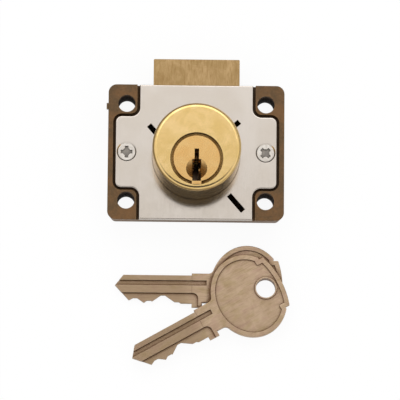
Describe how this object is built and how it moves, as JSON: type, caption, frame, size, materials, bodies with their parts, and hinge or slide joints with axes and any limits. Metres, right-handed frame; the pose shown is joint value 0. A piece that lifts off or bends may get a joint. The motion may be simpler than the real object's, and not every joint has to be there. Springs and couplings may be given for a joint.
{
  "type": "cupboard lock",
  "caption": "Cupboard lock with a pin-tumbler cylinder, a sliding dead bolt in a cast case with a let-in cover, and cut keys lying beside it.",
  "frame": {"origin": "middle of the flat back of the case, on the surface that the lock and its keys lie on", "axes": "+Z out of the front along the cylinder, +Y the way the bolt shoots, +X to the right of the front"},
  "size_m": [0.0533, 0.0886, 0.028],
  "materials": {
    "case_paint": "satin",
    "cover_steel": "satin",
    "cylinder_brass": "polished",
    "bolt_brass": "rough",
    "zinc_steel": "satin",
    "screw_steel": "polished",
    "key_nickel": "satin"
  },
  "bodies": {
    "lock": {"case_body": "case_paint", "cover_plate": "cover_steel", "cover_screw_left": "screw_steel", "cover_screw_right": "screw_steel", "cylinder_body": "cylinder_brass", "cylinder_screw_left": "screw_steel", "cylinder_screw_right": "screw_steel", "chamber_cap_1": "cylinder_brass", "chamber_cap_2": "cylinder_brass", "chamber_cap_3": "cylinder_brass", "chamber_cap_4": "cylinder_brass", "pin_spring_1": "zinc_steel", "pin_spring_2": "zinc_steel", "pin_spring_3": "zinc_steel", "pin_spring_4": "zinc_steel"},
    "plug": {"plug": "cylinder_brass", "cam": "zinc_steel", "drive_pin": "zinc_steel", "cam_screw_left": "screw_steel", "cam_screw_right": "screw_steel"},
    "bolt": {"bolt": "bolt_brass"},
    "driver_pin_1": {"driver_pin_1": "cylinder_brass"},
    "key_pin_1": {"key_pin_1": "cylinder_brass"},
    "driver_pin_2": {"driver_pin_2": "cylinder_brass"},
    "key_pin_2": {"key_pin_2": "cylinder_brass"},
    "driver_pin_3": {"driver_pin_3": "cylinder_brass"},
    "key_pin_3": {"key_pin_3": "cylinder_brass"},
    "driver_pin_4": {"driver_pin_4": "cylinder_brass"},
    "key_pin_4": {"key_pin_4": "cylinder_brass"},
    "key_back": {"key_back": "key_nickel"},
    "key_front": {"key_front": "key_nickel"}
  },
  "joints": [
    {"name": "plug_turn", "type": "hinge", "parent": "lock", "child": "plug", "pos_m": [0, -0.0046, 0.016], "axis": [0, 0, -1], "range_deg": [0, 90]},
    {"name": "bolt_slide", "type": "slide", "parent": "lock", "child": "bolt", "axis": [0, -1, 0], "range_m": [0, 0.0078]},
    {"name": "driver_1_slide", "type": "slide", "parent": "lock", "child": "driver_pin_1", "axis": [0, 1, 0], "range_m": [-0.0024, 0], "deforming": ["pin_spring_1"]},
    {"name": "key_pin_1_slide", "type": "slide", "parent": "plug", "child": "key_pin_1", "axis": [0, 1, 0], "range_m": [-0.0024, 0]},
    {"name": "driver_2_slide", "type": "slide", "parent": "lock", "child": "driver_pin_2", "axis": [0, 1, 0], "range_m": [-0.0005, 0], "deforming": ["pin_spring_2"]},
    {"name": "key_pin_2_slide", "type": "slide", "parent": "plug", "child": "key_pin_2", "axis": [0, 1, 0], "range_m": [-0.0005, 0]},
    {"name": "driver_3_slide", "type": "slide", "parent": "lock", "child": "driver_pin_3", "axis": [0, 1, 0], "range_m": [-0.00204, 0], "deforming": ["pin_spring_3"]},
    {"name": "key_pin_3_slide", "type": "slide", "parent": "plug", "child": "key_pin_3", "axis": [0, 1, 0], "range_m": [-0.00204, 0]},
    {"name": "driver_4_slide", "type": "slide", "parent": "lock", "child": "driver_pin_4", "axis": [0, 1, 0], "range_m": [-0.00135, 0], "deforming": ["pin_spring_4"]},
    {"name": "key_pin_4_slide", "type": "slide", "parent": "plug", "child": "key_pin_4", "axis": [0, 1, 0], "range_m": [-0.00135, 0]},
    {"name": "key_back_lift", "type": "slide", "parent": "lock", "child": "key_back", "axis": [0, 0, 1], "range_m": [0, 0.04]},
    {"name": "key_front_lift", "type": "slide", "parent": "key_back", "child": "key_front", "axis": [0, 0, 1], "range_m": [0, 0.04]}
  ],
  "couplings": [
    {"joint": "plug_turn", "follows": "bolt_slide", "rad_per_m": 201.38},
    {"joint": "key_pin_1_slide", "follows": "driver_1_slide", "ratio": 1},
    {"joint": "key_pin_2_slide", "follows": "driver_2_slide", "ratio": 1},
    {"joint": "key_pin_3_slide", "follows": "driver_3_slide", "ratio": 1},
    {"joint": "key_pin_4_slide", "follows": "driver_4_slide", "ratio": 1}
  ]
}
